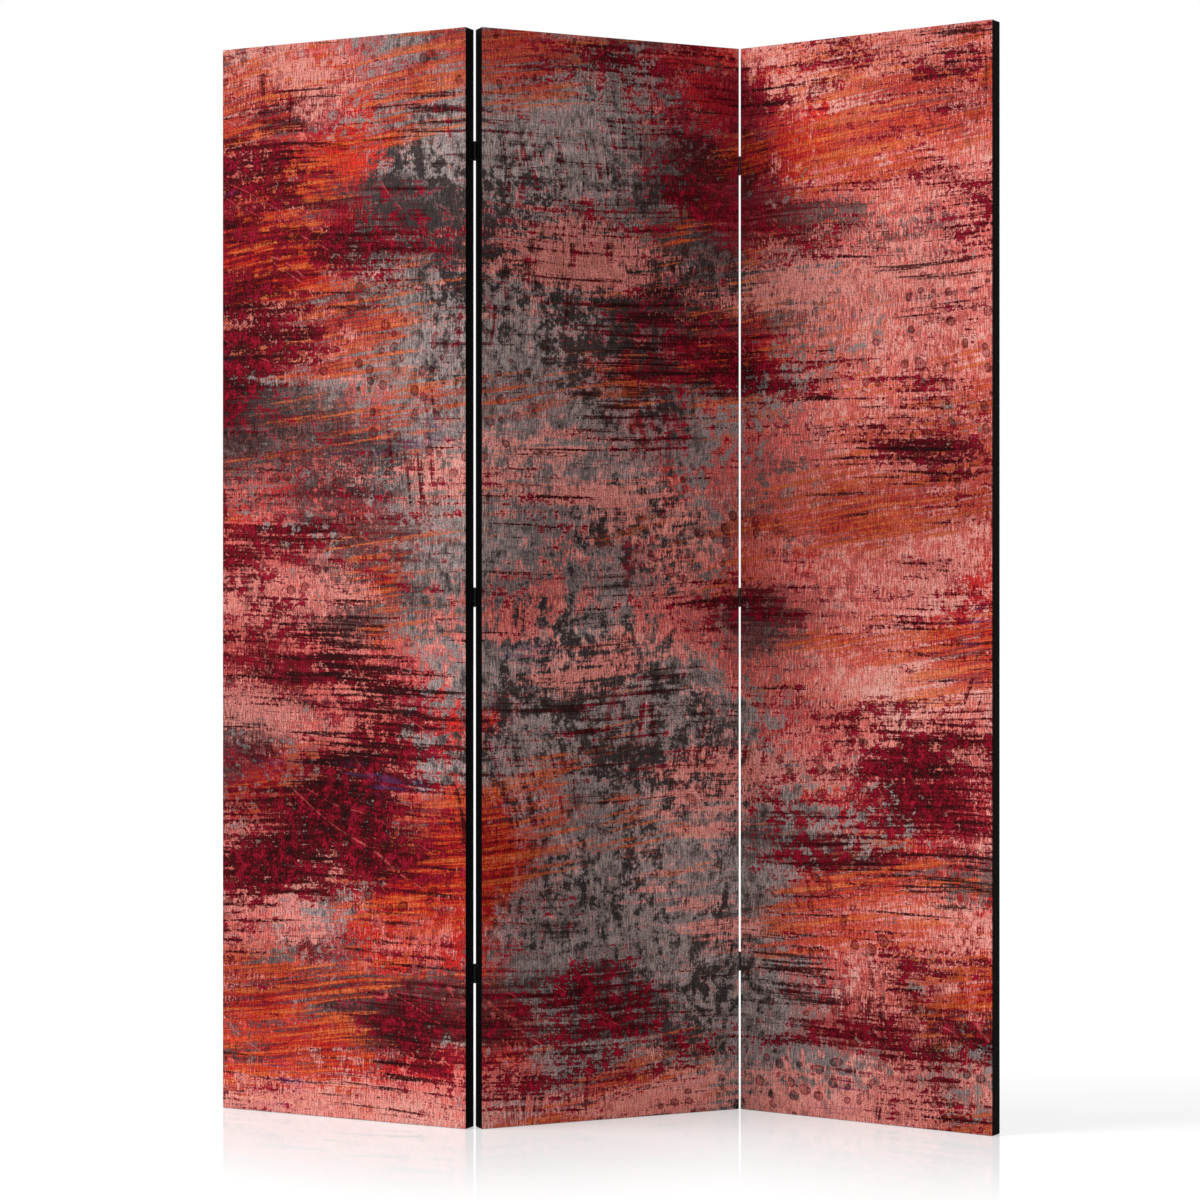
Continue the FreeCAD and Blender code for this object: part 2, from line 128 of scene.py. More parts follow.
def shade(red, green, blue):
    """A display colour of 0 to 255 as the linear colour that the nodes take."""
    part = np.array((red, green, blue)) / 255.0
    linear = np.where(part <= 0.04045, part / 12.92, ((part + 0.055) / 1.055) ** 2.4)
    return tuple(float(value) for value in linear)


BARE_STEEL = shade(118, 116, 114)


def toned(tint, share):
    """A colour made lighter or darker by a share."""
    return tuple(share * part for part in tuple(tint)[:3])


def setting(name, description, default, kind=FloatProperty, **rules):
    return kind(name=name, description=description, default=default, **rules)


def colour(name, description, *display):
    return setting(
        name, description, shade(*display), FloatVectorProperty, min=0.0, max=1.0, subtype="COLOR"
    )


def angle(name, description, degrees):
    return setting(name, description, math.radians(degrees), subtype="ANGLE")


length = partial(setting, min=0.0, unit="LENGTH", precision=4)
strength = partial(setting, min=0.0)


class ClothSizes(bpy.types.PropertyGroup):
    """Sizes of the canvas, its folds, the back cloth and the staples."""

    rim: length("Rim", "Radius of the canvas's turn over the frame's edge", 0.001)
    cloth: length("Canvas thickness", "Thickness of the printed canvas", 0.0006)
    turn_in: length("Turn-in", "Canvas border that is turned on to the back", 0.024)
    slack: length("Slack", "How far the canvas lies back between the frame's beads", 0.00025)
    bead: length("Bead", "Width of the frame's edge that carries the canvas", 0.008)
    fold: length("Corner fold", "How far the folded corner runs along the top edge", 0.024)
    fold_cloth: length("Corner fold thickness", "Thickness of the pressed corner fold", 0.0004)
    fold_rise: length("Corner fold rise", "How far the folded corner stands proud", 0.0005)
    cover_dip: length("Cover dip", "How far the back cloth lies in between the bars", 0.0018)
    pucker: length("Pucker", "How far the back cloth stands up between its staples", 0.0006)
    staple_crown: length("Staple crown", "Length of a staple's crown", 0.0105)
    staple_wire: length("Staple wire", "Width of a staple's wire", 0.0011)
    staple_rise: length("Staple rise", "How far a staple stands proud of the cloth", 0.0003)
    staple_inset: length("Staple inset", "Staples' distance from the cloth's edge", 0.011)
    staple_pitch: length("Staple pitch", "Distance from one staple to the next", 0.082)
    weave: length("Weave", "Distance from one canvas thread to the next", 0.0008)


class PrintColours(bpy.types.PropertyGroup):
    """Paints of the generic distressed-paint print."""

    charcoal: colour("Charcoal", "Darkest grey of the worn ground", 68, 58, 58)
    grey: colour("Grey", "Warm grey of the worn ground", 126, 111, 109)
    pale_grey: colour("Pale grey", "Lightest grey of the worn ground", 174, 158, 155)
    rose_grey: colour("Rose grey", "Pink grey between ground and salmon", 166, 118, 116)
    salmon: colour("Salmon", "Main light red", 226, 98, 94)
    coral: colour("Coral", "Brightest light red", 248, 126, 116)
    blush: colour("Blush", "Palest pink of the salmon patches", 254, 172, 160)
    crimson: colour("Crimson", "Cool red glaze", 160, 22, 48)
    red: colour("Red", "Main red", 196, 30, 34)
    scarlet: colour("Scarlet", "Bright red", 224, 48, 38)
    maroon: colour("Maroon", "Dark red of the deep strokes", 82, 12, 18)
    soot: colour("Soot", "Near-black of the dry brush marks", 38, 16, 17)
    rust: colour("Rust", "Orange of the rust strokes", 208, 76, 28)
    ochre: colour("Ochre", "Lightest line of the rust strokes", 232, 122, 70)
    violet: colour("Violet", "Rare cool touches", 98, 66, 118)


class FinishColours(bpy.types.PropertyGroup):
    """Colours of what isn't printed."""

    wrap: colour("Canvas edge", "Black of the canvas's wrapped edges", 4, 4, 4)
    back: colour("Back cloth", "Black of the non-woven back cloth", 46, 45, 47)
    hinge: colour("Hinge", "Black coating of the hinges", 9, 9, 9)
    screw: colour("Screw", "Black coating of the screws", 14, 14, 14)
    staple: colour("Staple", "Bright wire of the staples", 168, 168, 170)
    pine: colour("Pine", "Pale wood of the frame", 222, 190, 146)
    pine_late: colour("Pine late wood", "Darker lines of the frame's grain", 184, 136, 88)


class StageSizes(bpy.types.PropertyGroup):
    """Camera, lights and floor."""

    camera: setting(
        "Camera", "Where the camera stands", (-1.9794, -4.3363, 0.8257), FloatVectorProperty,
        subtype="TRANSLATION", unit="LENGTH",
    )
    heading: angle("Heading", "Turn to the right of the centre panel's square view", 24.3539)
    lens: setting("Lens", "Focal length on a 36 mm sensor", 89.636, unit="CAMERA")
    key: strength("Key", "Strength of the soft key light", 3.2)
    key_side: angle("Key side", "Turn to the left of the square view", 104.0)
    key_rise: angle("Key rise", "Height above the horizon", 35.0)
    key_spread: angle("Key spread", "Width as seen from the screen", 34.0)
    cross: strength("Cross", "Strength of the light on the centre panel", 0.8)
    cross_side: angle("Cross side", "Turn to the left of the square view", -22.0)
    cross_rise: angle("Cross rise", "Height above the horizon", 25.0)
    cross_spread: angle("Cross spread", "Width as seen from the screen", 40.0)
    rear: strength("Rear", "Strength of the light on the backs", 0.9)
    rear_side: angle("Rear side", "Turn to the left of the square view", 195.0)
    rear_rise: angle("Rear rise", "Height above the horizon", 38.0)
    rear_spread: angle("Rear spread", "Width as seen from the screen", 40.0)
    fill: strength("Fill", "Strength of the light all round", 0.2)
    floor_lift: strength("Floor lift", "Glow that keeps the lit floor white to the camera", 0.68)
    shine: strength("Shine", "The floor's polish at the panels' bottom edges", 0.8)
    shine_reach: length("Shine reach", "How far from the panels the floor's shine runs", 0.75)


class ScreenSettings(bpy.types.PropertyGroup):
    """All settings of the folding screen."""

    cloth: PointerProperty(type=ClothSizes)
    paints: PointerProperty(type=PrintColours)
    finishes: PointerProperty(type=FinishColours)
    stage: PointerProperty(type=StageSizes)


def settings():
    return bpy.context.scene.folding_screen


class Recipe:
    """A material's or the world's node tree, and the steps that finishes are mixed from."""

    def __init__(self, holder):
        holder.use_nodes = True
        self.holder = holder
        self.tree = holder.node_tree
        self.tree.nodes.clear()

    def node(self, kind, sockets=None, **choices):
        """A new node with its choices made and its sockets fed."""
        node = self.tree.nodes.new(kind)
        for name, value in choices.items():
            setattr(node, name, value)
        for name, value in (sockets or {}).items():
            self.feed(node.inputs[name], value)
        return node

    def feed(self, socket, value):
        """Links a socket to another node's output, or sets its own value."""
        if isinstance(value, bpy.types.NodeSocket):
            self.tree.links.new(value, socket)
        elif socket.type == "RGBA":
            socket.default_value = (*tuple(value)[:3], 1.0)
        else:
            socket.default_value = value

    def object_place(self):
        return self.node("ShaderNodeTexCoord").outputs["Object"]

    def sheet_place(self):
        return self.node("ShaderNodeUVMap", uv_map="Sheet").outputs["UV"]

    def moved(self, place, scale=(1, 1, 1), shift=(0, 0, 0), turn=0.0):
        """A place turned, then stretched, then shifted."""
        if turn:
            sockets = {"Vector": place, "Rotation": (0, 0, turn)}
            place = self.node("ShaderNodeMapping", sockets).outputs["Vector"]
        sockets = {"Vector": place, "Location": shift, "Scale": scale}
        return self.node("ShaderNodeMapping", sockets).outputs["Vector"]

    def noise(self, place, scale=1.0, detail=2.0, rough=0.5, flat=True, out="Fac"):
        sockets = {"Vector": place, "Scale": scale, "Detail": detail, "Roughness": rough}
        return self.node("ShaderNodeTexNoise", sockets, noise_dimensions="2D" if flat else "3D").outputs[out]

    def vector(self, step, first, second=(0, 0, 0), third=(0, 0, 0), out="Vector"):
        sockets = {0: first, 1: second, 2: third}
        return self.node("ShaderNodeVectorMath", sockets, operation=step).outputs[out]

    def sum(self, first, second, step="ADD"):
        return self.node("ShaderNodeMath", {0: first, 1: second}, operation=step).outputs["Value"]

    def product(self, first, second):
        return self.sum(first, second, "MULTIPLY")

    def apart(self, value, middle):
        """How far a value is from a middle, either way."""
        return self.sum(self.sum(value, middle, "SUBTRACT"), 0.0, "ABSOLUTE")

    def swing(self, value, amount):
        """A noise of 0 to 1 as a push of up to half the amount either way."""
        sockets = {0: value, 1: amount, 2: -amount / 2}
        return self.node("ShaderNodeMath", sockets, operation="MULTIPLY_ADD").outputs["Value"]

    def ease(self, value, low, high, start=0.0, end=1.0):
        """A smooth step from start to end, as the value goes from low to high."""
        sockets = {"Value": value, "From Min": low, "From Max": high, "To Min": start, "To Max": end}
        return self.node("ShaderNodeMapRange", sockets, interpolation_type="SMOOTHSTEP").outputs["Result"]

    def blend(self, share, first, second, way="MIX"):
        sockets = {0: share, 6: first, 7: second}
        node = self.node("ShaderNodeMix", sockets, data_type="RGBA", blend_type=way, clamp_result=True)
        return node.outputs[2]

    def ramp(self, share, stops):
        node = self.node("ShaderNodeValToRGB", {"Fac": share})
        marks = node.color_ramp.elements
        while len(marks) < len(stops):
            marks.new(0.5)
        for mark, (place, tint) in zip(marks, stops):
            mark.position = place
            mark.color = (*tuple(tint)[:3], 1.0)
        return node.outputs["Color"]

    def greys(self, share, *stops):
        """A ramp of greys, each stop with its place and its level."""
        return self.ramp(share, [(place, (level,) * 3) for place, level in stops])

    def shaded(self, tint, share, *stops):
        """A colour times a ramp of greys."""
        return self.blend(1.0, tint, self.greys(share, *stops), "MULTIPLY")

    def bump(self, height, strength, distance):
        sockets = {"Strength": strength, "Distance": distance, "Height": height}
        return self.node("ShaderNodeBump", sockets).outputs["Normal"]

    def finish(self, tint, rough, normal=None, **levels):
        """One Principled shader with its colour, roughness, bump and other levels."""
        sockets = {"Base Color": tint, "Roughness": rough}
        if normal is not None:
            sockets["Normal"] = normal
        for name, value in levels.items():
            sockets[name.replace("_", " ")] = value
        shader = self.node("ShaderNodeBsdfPrincipled", sockets)
        self.node("ShaderNodeOutputMaterial", {"Surface": shader.outputs["BSDF"]})
        return self.holder


def new_finish(name):
    return Recipe(bpy.data.materials.new(name))


def woven_height(mix, place, pitch):
    """Plain weave: warp and weft ripples across each other, taking turns to lie on top. A wave at scale 1
    repeats each tenth of pi."""
    sockets = {"Vector": place, "Scale": math.pi / (10 * pitch), "Distortion": 0.6, "Detail": 1.0}
    warp, weft = (
        mix.node("ShaderNodeTexWave", sockets, bands_direction=way).outputs["Color"]
        for way in ("X", "Y")
    )
    checks = mix.node("ShaderNodeTexChecker", {"Vector": place, "Scale": 1 / pitch})
    return mix.blend(checks.outputs["Fac"], warp, weft)


class WornPrint(Recipe):
    """Worn paint in layers. Each coat lies where a slow noise, pushed up and down by finer ones, passes a
    limit, and fine upright fibres run through them all."""

    UPHILL = -0.13
    BAND_LEAN = 0.22
    BAND_MIDDLE = 0.86

    def __init__(self, name, paints):
        super().__init__(bpy.data.materials.new(name))
        self.paints = paints
        self.place = self.sheet_place()
        self.flow = self.wandering(2.6, (0.12, 0.07))
        self.lines = self.wandering(1.3, (0.03, 0.06))

        # Frayed edges, grit, specks, upright fibres and washes, and lines of level and of rising strokes.
        self.fray = self.noise(self.place, 42.0, 10.0, 0.75)
        self.grit = self.noise(self.moved(self.place, shift=(4.7, 1.3, 0)), 190.0, 5.0, 0.72)
        self.speck = self.noise(self.moved(self.place, shift=(8.3, 6.1, 0)), 430.0, 3.0, 0.65)
        self.fibre = self.streaks(self.place, (500.0, 50.0), (0.3, 5.5), 4.0, 0.62)
        self.wash = self.streaks(self.flow, (75.0, 6.0), (7.1, 2.2), 6.0, 0.68)
        self.bristle = self.streaks(self.lines, (4.6, 120.0), (1.7, 3.1), 7.0, 0.70)
        self.rising = self.streaks(self.lines, (4.0, 130.0), (9.2, 0.4), 7.0, 0.70, self.UPHILL)

        # Distance from a slanting band, the way along the three panels and the outer part of the last. The outer
        # part pushes the paints lighter towards the last panel's outer end, so that its print darkens towards the
        # right fold: painted shade.
        self.band = self.ease(self.apart(self.slant(self.BAND_LEAN), self.BAND_MIDDLE), 0.05, 0.42)
        self.along = self.ease(self.slant(0.0), 0.0, 3 * PANEL_WIDTH)
        self.outer = self.ease(self.slant(0.0), 2.05 * PANEL_WIDTH, 2.85 * PANEL_WIDTH)

    def wandering(self, scale, reach):
        """The place pushed along by a slow noise, by up to the reach."""
        push = self.noise(self.place, scale, out="Color")
        return self.vector("MULTIPLY_ADD", push, (*reach, 0.0), self.place)

    def slant(self, lean):
        """How far across the print a place lies, plus its height times the lean."""
        return self.vector("DOT_PRODUCT", self.flow, (1.0, lean, 0.0), out="Value")

    def streaks(self, place, scale, shift, detail, rough, turn=0.0):
        """A noise with its own stretch across and up, its own shift and its own turn."""
        return self.noise(self.moved(place, (*scale, 1), (*shift, 0), turn), 1.0, detail, rough)

    def pushed(self, level, **pushes):
        """A level pushed up and down by noises, each given by its name and its amount."""
        for noise, amount in pushes.items():
            level = self.sum(level, self.swing(getattr(self, noise), amount))
        return level

    def zone(self, scale, shift, turn=0.0, **pushes):
        """A slow noise with its own stretch and shift, pushed by finer ones."""
        return self.pushed(self.streaks(self.flow, scale, shift, 5.0, 0.56, turn), **pushes)

    def past(self, level, limit, soft=0.03):
        """Rises from 0 to 1 as the level passes the limit."""
        return self.ease(level, limit - soft, limit + soft)

    def paint(self, level, **stops):
        """A ramp through paints, each given by its name and its place."""
        return self.ramp(level, [(place, getattr(self.paints, name)) for name, place in stops.items()])

    def lay(self, paint, most, *shares):
        """Lays a paint by the product of its shares and the most that it covers."""
        for share in shares:
            most = self.product(share, most)
        self.tint = self.blend(most, self.tint, paint)

    def coat(self, paint, most, limit, soft, scale, shift, turn=0.0, **pushes):
        """Lays a paint where its zone passes a limit."""
        self.lay(paint, most, self.past(self.zone(scale, shift, turn, **pushes), limit, soft))


def lay_light_coats(mix):
    """A worn ground from grey through rose to coral, greyest along the slanting band, red glazes, paint
    worn through to the grey, and patches of salmon left on it."""
    level = mix.zone((1.7, 2.3), (2.2, 8.4), fray=0.6, wash=0.25, fibre=0.14, band=0.22, along=0.05)
    mix.tint = mix.paint(
        level, charcoal=0.33, grey=0.42, pale_grey=0.50, rose_grey=0.535, salmon=0.58, coral=0.68,
        blush=0.80,
    )
    level = mix.zone((3.1, 4.4), (6.1, 2.6), fray=0.6, bristle=0.25)
    glaze = mix.paint(level, maroon=0.36, crimson=0.44, red=0.53, scarlet=0.66)
    mix.coat(glaze, 0.97, 0.54, 0.035, (2.1, 2.9), (7.7, 5.2), fray=0.9, bristle=0.3, grit=0.3, band=0.12)
    bare = mix.paint(mix.pushed(mix.fray, fibre=0.4), grey=0.36, pale_grey=0.62)
    mix.coat(bare, 0.88, 0.535, 0.03, (2.3, 2.9), (0.8, 4.4), fray=0.9, grit=0.35, wash=0.3, band=-0.20)
    # The outer pushes make the salmon lighter and denser towards the last panel's outer end: part of the painted
    # shade towards the right fold.
    level = mix.pushed(mix.fray, fibre=0.4, outer=0.10)
    left_on = mix.paint(level, rose_grey=0.32, salmon=0.42, coral=0.52, blush=0.63)
    mix.coat(
        left_on, 0.92, 0.56, 0.03, (2.0, 2.5), (5.9, 7.3),
        fray=0.75, fibre=0.18, wash=0.3, band=0.10, outer=0.12,
    )


def lay_dark_coats(mix):
    """Rubbed charcoal, rust veils drawn a little uphill, light dry brush, deep maroon and soot strokes
    broken by the bristles, soot lines and combed washes."""
    flecks = mix.past(mix.pushed(mix.fray, grit=0.5), 0.52, 0.08)
    mottle = mix.blend(flecks, mix.paints.soot, mix.paints.grey)
    # outer=-0.12 leaves fewer charcoal strokes at the last panel's outer end: part of the painted shade towards
    # the right fold.
    mix.coat(
        mix.blend(0.45, mottle, mix.paints.charcoal), 0.92, 0.657, 0.04, (1.6, 4.2), (1.1, 6.6),
        fray=0.8, bristle=0.32, grit=0.35, band=0.18, along=-0.04, outer=-0.12,
    )
    level = mix.pushed(mix.rising, grit=0.3)
    rust = mix.paint(level, maroon=0.40, red=0.48, rust=0.55, ochre=0.68)
    mix.coat(rust, 0.86, 0.585, 0.05, (1.7, 4.2), (3.9, 0.7), mix.UPHILL, rising=0.6, grit=0.3, band=0.05)
    light = mix.blend(mix.fray, mix.paints.coral, mix.paints.blush)
    mix.coat(light, 0.8, 0.60, 0.03, (2.2, 5.4), (5.3, 9.1), bristle=0.6, fibre=0.3, fray=0.5)
    mix.deep = mix.paint(mix.pushed(mix.fray, grit=0.6), soot=0.38, maroon=0.50, crimson=0.66)
    # outer=-0.04 leaves fewer deep strokes at the last panel's outer end: part of the painted shade towards the
    # right fold.
    mix.coat(
        mix.deep, 1.0, 0.635, 0.03, (2.0, 4.8), (8.1, 3.6),
        bristle=0.55, fray=0.75, grit=0.5, band=0.16, along=-0.05, outer=-0.04,
    )
    mix.coat(mix.paints.soot, 0.88, 0.735, 0.03, (2.5, 3.6), (8.8, 1.9), bristle=1.6, grit=0.7)
    combed = mix.past(mix.pushed(mix.wash, bristle=0.8, grit=0.4), 0.60)
    mix.lay(mix.deep, 0.95, combed, mix.past(mix.zone((2.0, 2.4), (4.4, 7.9)), 0.59, 0.05))


def lay_splatter(mix):
    """A drop in about half of the cells, each of its own size, darkest at its rim."""
    sockets = {"Vector": mix.flow, "Scale": 46.0}
    cells = mix.node("ShaderNodeTexVoronoi", sockets, voronoi_dimensions="2D").outputs
    draw = mix.node("ShaderNodeSeparateColor", {"Color": cells["Color"]}).outputs["Red"]
    radius = mix.ease(draw, 0.42, 1.05, 0.0, 0.46)
    inside = mix.pushed(mix.sum(radius, cells["Distance"], "SUBTRACT"), grit=0.25, fray=0.3)
    where = mix.past(mix.zone((2.2, 2.6), (9.9, 3.3), fray=0.3), 0.54, 0.04)
    rim = mix.ease(inside, 0.06, 0.2, 0.9, 0.5)
    mix.lay(mix.deep, 1.0, mix.ease(inside, 0.0, 0.08), where, rim)


def lay_small_marks(mix):
    """Small pits, rare cool touches and long fine scratches."""
    pitted = mix.past(mix.zone((2.9, 3.4), (5.1, 0.9)), 0.48, 0.08)
    mix.lay(mix.paints.soot, 0.75, mix.past(mix.grit, 0.64), pitted)
    cool = mix.past(mix.zone((3.6, 5.6), (6.6, 6.1)), 0.69, 0.04)
    mix.lay(mix.paints.violet, 0.45, cool, mix.past(mix.bristle, 0.54, 0.04))
    path = mix.streaks(mix.lines, (2.0, 9.0), (2.9, 2.1), 1.0, 0.4, 0.55)
    scratch = mix.ease(mix.apart(path, 0.5), 0.0008, 0.0026, 1.0, 0.0)
    mix.lay(mix.paints.coral, 0.35, scratch, mix.ease(mix.fray, 0.46, 0.58))


def shade_all(mix):
    """Slow shadows of old paint, then the fibres and specks that run through every layer."""
    level = mix.zone((1.5, 2.1), (3.2, 1.4), fray=0.4)
    mix.tint = mix.shaded(mix.tint, level, (0.34, 0.70), (0.50, 1.0), (0.66, 1.14))
    level = mix.pushed(mix.fibre, grit=0.5, speck=1.1)
    mix.tint = mix.shaded(mix.tint, level, (0.26, 0.45), (0.50, 1.0), (0.74, 1.5))


def canvas_black(mix, cloudy, finishes):
    """Black of the canvas's wrapped edges, cloudy."""
    return mix.blend(cloudy, toned(finishes.wrap, 0.6), toned(finishes.wrap, 1.5))


def canvas_finish(mix, tint, tooth, bump):
    """Matt canvas, a little rougher where its tooth is low."""
    return mix.finish(tint, mix.ease(tooth, 0.2, 0.8, 0.86, 0.74), bump, Specular_IOR_Level=0.04)


def printed_canvas(name, paints, finishes, cloth):
    """Matt canvas: the print on the front, plain black from half way round the rim."""
    mix = WornPrint(name, paints)
    for layer in (lay_light_coats, lay_dark_coats, lay_splatter, lay_small_marks, shade_all):
        layer(mix)
    thread = woven_height(mix, mix.place, cloth.weave)
    # Painted shade and highlight of the weave: the print is darkened where the threads lie low and lightened on
    # their tops.
    tint = mix.shaded(mix.tint, thread, (0.0, 0.82), (0.55, 1.1))
    black = canvas_black(mix, mix.noise(mix.place, 300.0, 3.0), finishes)
    edge = mix.node("ShaderNodeAttribute", attribute_name="edge").outputs["Fac"]
    front = mix.ease(edge, -0.9 * cloth.rim, -0.6 * cloth.rim)
    bump = mix.bump(mix.sum(mix.product(thread, 0.8), mix.fibre), 0.3, 0.00025)
    return canvas_finish(mix, mix.blend(front, black, tint), mix.fibre, bump)


def wrapped_edge(name, finishes):
    """The canvas's black edge: cloudy black with a fine tooth."""
    mix = new_finish(name)
    place = mix.object_place()
    cloudy = mix.noise(place, 300.0, 3.0, flat=False)
    tooth = mix.noise(place, 1400.0, flat=False)
    return canvas_finish(mix, canvas_black(mix, cloudy, finishes), cloudy, mix.bump(tooth, 0.3, 0.0002))


# Turn in a metre of the waves whose crossings are the back cloth's bonded points, one each 2.4 mm.
BOND_WAVE = 2 * math.pi / 0.0024


def back_cloth(name, finishes):
    """Black non-woven cloth: matted fibres laid every way, pressed together at staggered bonded points,
    each a product of two waves across the cloth."""
    mix = new_finish(name)
    place = mix.sheet_place()
    matted = mix.noise(mix.moved(place, (1, 0.3, 1), turn=0.5), 1100.0, 4.0, 0.7)
    crossed = mix.noise(mix.moved(place, (1, 0.3, 1), (3.3, 1.1, 0), -0.7), 1100.0, 4.0, 0.7)
    cloudy = mix.noise(place, 19.0, 5.0, 0.62)
    slanted = mix.moved(place, (BOND_WAVE, BOND_WAVE, 1), turn=math.pi / 4)
    axes = mix.node("ShaderNodeSeparateXYZ", {"Vector": slanted})
    waves = (mix.sum(axes.outputs[axis], 0.0, "SINE") for axis in ("X", "Y"))
    bond = mix.ease(mix.product(*waves), 0.45, 0.8)
    fibres = mix.product(mix.sum(matted, crossed), 0.5)
    share = mix.sum(mix.sum(fibres, mix.swing(cloudy, 0.5)), mix.product(bond, -0.08))
    tint = mix.ramp(share, (
        (0.34, toned(finishes.back, 0.5)), (0.50, finishes.back), (0.68, toned(finishes.back, 1.9)),
    ))
    rough = mix.ease(mix.sum(cloudy, mix.swing(bond, 0.4)), 0.3, 0.7, 0.95, 0.72)
    bump = mix.bump(mix.sum(fibres, mix.product(bond, -0.7)), 0.5, 0.0003)
    return mix.finish(tint, rough, bump, Specular_IOR_Level=0.25, Sheen_Weight=0.15)


def coated_steel(name, tint, low, high, metal):
    """Coating on steel: a fine orange peel, faint rubbed places and small scuffs."""
    mix = new_finish(name)
    place = mix.object_place()
    rubbed = mix.noise(place, 130.0, 5.0, 0.65, flat=False)
    scuff = mix.noise(mix.moved(place, (1, 1, 0.12), turn=0.4), 1500.0, 3.0, 0.6, flat=False)
    peel = mix.noise(place, 2600.0, flat=False)
    worn = mix.product(mix.ease(rubbed, 0.56, 0.70), mix.ease(scuff, 0.52, 0.70))
    coat = mix.ramp(rubbed, ((0.3, toned(tint, 0.7)), (0.7, toned(tint, 1.5))))
    coat = mix.blend(mix.product(worn, 0.55), coat, BARE_STEEL)
    rough = mix.ease(mix.sum(rubbed, mix.swing(scuff, 0.3)), 0.25, 0.75, low, high)
    return mix.finish(coat, rough, mix.bump(peel, 0.12, 0.0001), Metallic=metal, Specular_IOR_Level=0.4)


def planed_pine(name, finishes, turn, upright):
    """Planed pine: long growth lines along the bar, fine pores and a slow change of tone."""
    mix = new_finish(name)
    place = mix.moved(mix.object_place(), turn=-turn)
    long_place = mix.moved(place, (1, 1, 0.045) if upright else (0.045, 1, 1))
    lines = mix.noise(long_place, 190.0, 3.0, 0.6, flat=False)
    pores = mix.noise(long_place, 1900.0, 3.0, 0.6, flat=False)
    tone = mix.noise(place, 9.0, flat=False)
    level = mix.sum(lines, mix.swing(tone, 0.25))
    tint = mix.ramp(level, ((0.36, finishes.pine), (0.62, finishes.pine_late)))
    tint = mix.blend(mix.ease(pores, 0.55, 0.75, 0.0, 0.25), tint, finishes.pine_late)
    rough = mix.ease(lines, 0.3, 0.7, 0.62, 0.5)
    return mix.finish(tint, rough, mix.bump(mix.sum(lines, pores), 0.15, 0.0003), Specular_IOR_Level=0.35)


def stand(points, panel):
    """Points from the middle of a panel's bottom edge, turned and moved to where the panel stands."""
    cos, sin = math.cos(TURN[panel]), math.sin(TURN[panel])
    x, y, z = np.moveaxis(points, -1, 0)
    return np.stack((cos * x - sin * y, sin * x + cos * y, z), -1) + FOOT[panel]


def smooth_step(value):
    """0 below 0 and 1 above 1, and between them three times the square less twice the cube."""
    rise = np.clip(value, 0, 1)
    return rise * rise * (3 - 2 * rise)


def spaced(*runs):
    """Even steps for each run of first value, last value and count, one run after another."""
    return np.concatenate([np.linspace(*run) for run in runs])


def ring_pattern(across, up, round_corner):
    """One turn round a rectangle: for each point, which corner's core it hangs from (-1 to 1 along each
    side) and its outward direction. A rounded rectangle is core times (half size less radius) plus
    radius times outward direction."""
    quarter = np.linspace(0.0, math.pi / 2, round_corner)
    runs = [np.linspace(-1, 1, count + 2)[1:-1] for count in (across, up)]
    core, angle = [], []
    for number, corner in enumerate(((1, 1), (-1, 1), (-1, -1), (1, -1))):
        axis = number % 2
        along = np.full((len(runs[axis]), 2), corner, float)
        along[:, axis] = runs[axis] if number > 1 else -runs[axis]
        core += [np.tile(corner, (round_corner, 1)), along]
        angle += [number * math.pi / 2 + quarter, np.full(len(along), (number + 1) * math.pi / 2)]
    core, angle = np.concatenate(core), np.concatenate(angle)
    return core, np.stack((np.cos(angle), np.sin(angle)), -1)


def rings(pattern, half, inset, radius):
    """Rounded rectangles, one for each inset from the outer half size: an array of ring, point, x and z."""
    core, outward = pattern
    size = half - inset[:, None] - radius
    return core * size[:, None] + radius * outward


def ring_faces(count, around):
    """Four-sided faces between each ring and the next, wound round so that they face outwards."""
    ring, step = np.meshgrid(np.arange(count - 1) * around, np.arange(around), indexing="ij")
    after = (step + 1) % around
    faces = np.stack((ring + step, ring + around + step, ring + around + after, ring + after), -1)
    return faces.reshape(-1, 4)


def middle_faces(across, up, round_corner):
    """Closes the inmost ring: squares from its left side straight across to its right side, and one
    many-sided face at its top and at its bottom."""
    around = 4 * round_corner + 2 * across + 2 * up
    left = 2 * round_corner + across + np.arange(up)
    right = around - 1 - np.arange(up)
    squares = np.stack((left[:-1], left[1:], right[1:], right[:-1]), -1).tolist()
    top = [around - 1, *range(left[0] + 1)]
    bottom = list(range(left[-1], right[-1] + 1))
    return squares + [top, bottom]


def grid_faces(rows, columns):
    """Four-sided faces of a grid of points that are counted row by row."""
    grid = np.arange(rows * columns).reshape(rows, columns)
    return np.stack((grid[:-1, :-1], grid[1:, :-1], grid[1:, 1:], grid[:-1, 1:]), -1).reshape(-1, 4)


def new_object(name, data):
    """A new object in the scene."""
    thing = bpy.data.objects.new(name, data)
    bpy.context.scene.collection.objects.link(thing)
    return thing


def new_piece(name, points, faces, material):
    """A mesh object from arrays of points and faces, shaded smooth."""
    mesh = bpy.data.meshes.new(name)
    mesh.from_pydata(points.reshape(-1, 3).tolist(), [], faces, shade_flat=False)
    mesh.validate()
    mesh.materials.append(material)
    mesh.update()
    return new_object(name, mesh)


def give_thickness(piece, thickness):
    """Makes a sheet a closed cloth whose outer face stays where it is."""
    wall = piece.modifiers.new("Cloth", "SOLIDIFY")
    wall.thickness = thickness
    wall.offset = -1.0


def lay_sheet_map(mesh, spread):
    """UV map named Sheet: where each point lies on the flat cloth, in metres."""
    corner = np.empty(len(mesh.loops), dtype=np.int32)
    mesh.loops.foreach_get("vertex_index", corner)
    layer = mesh.uv_layers.new(name="Sheet")
    layer.uv.foreach_set("vector", spread.reshape(-1, 2)[corner].astype(np.float32).ravel())


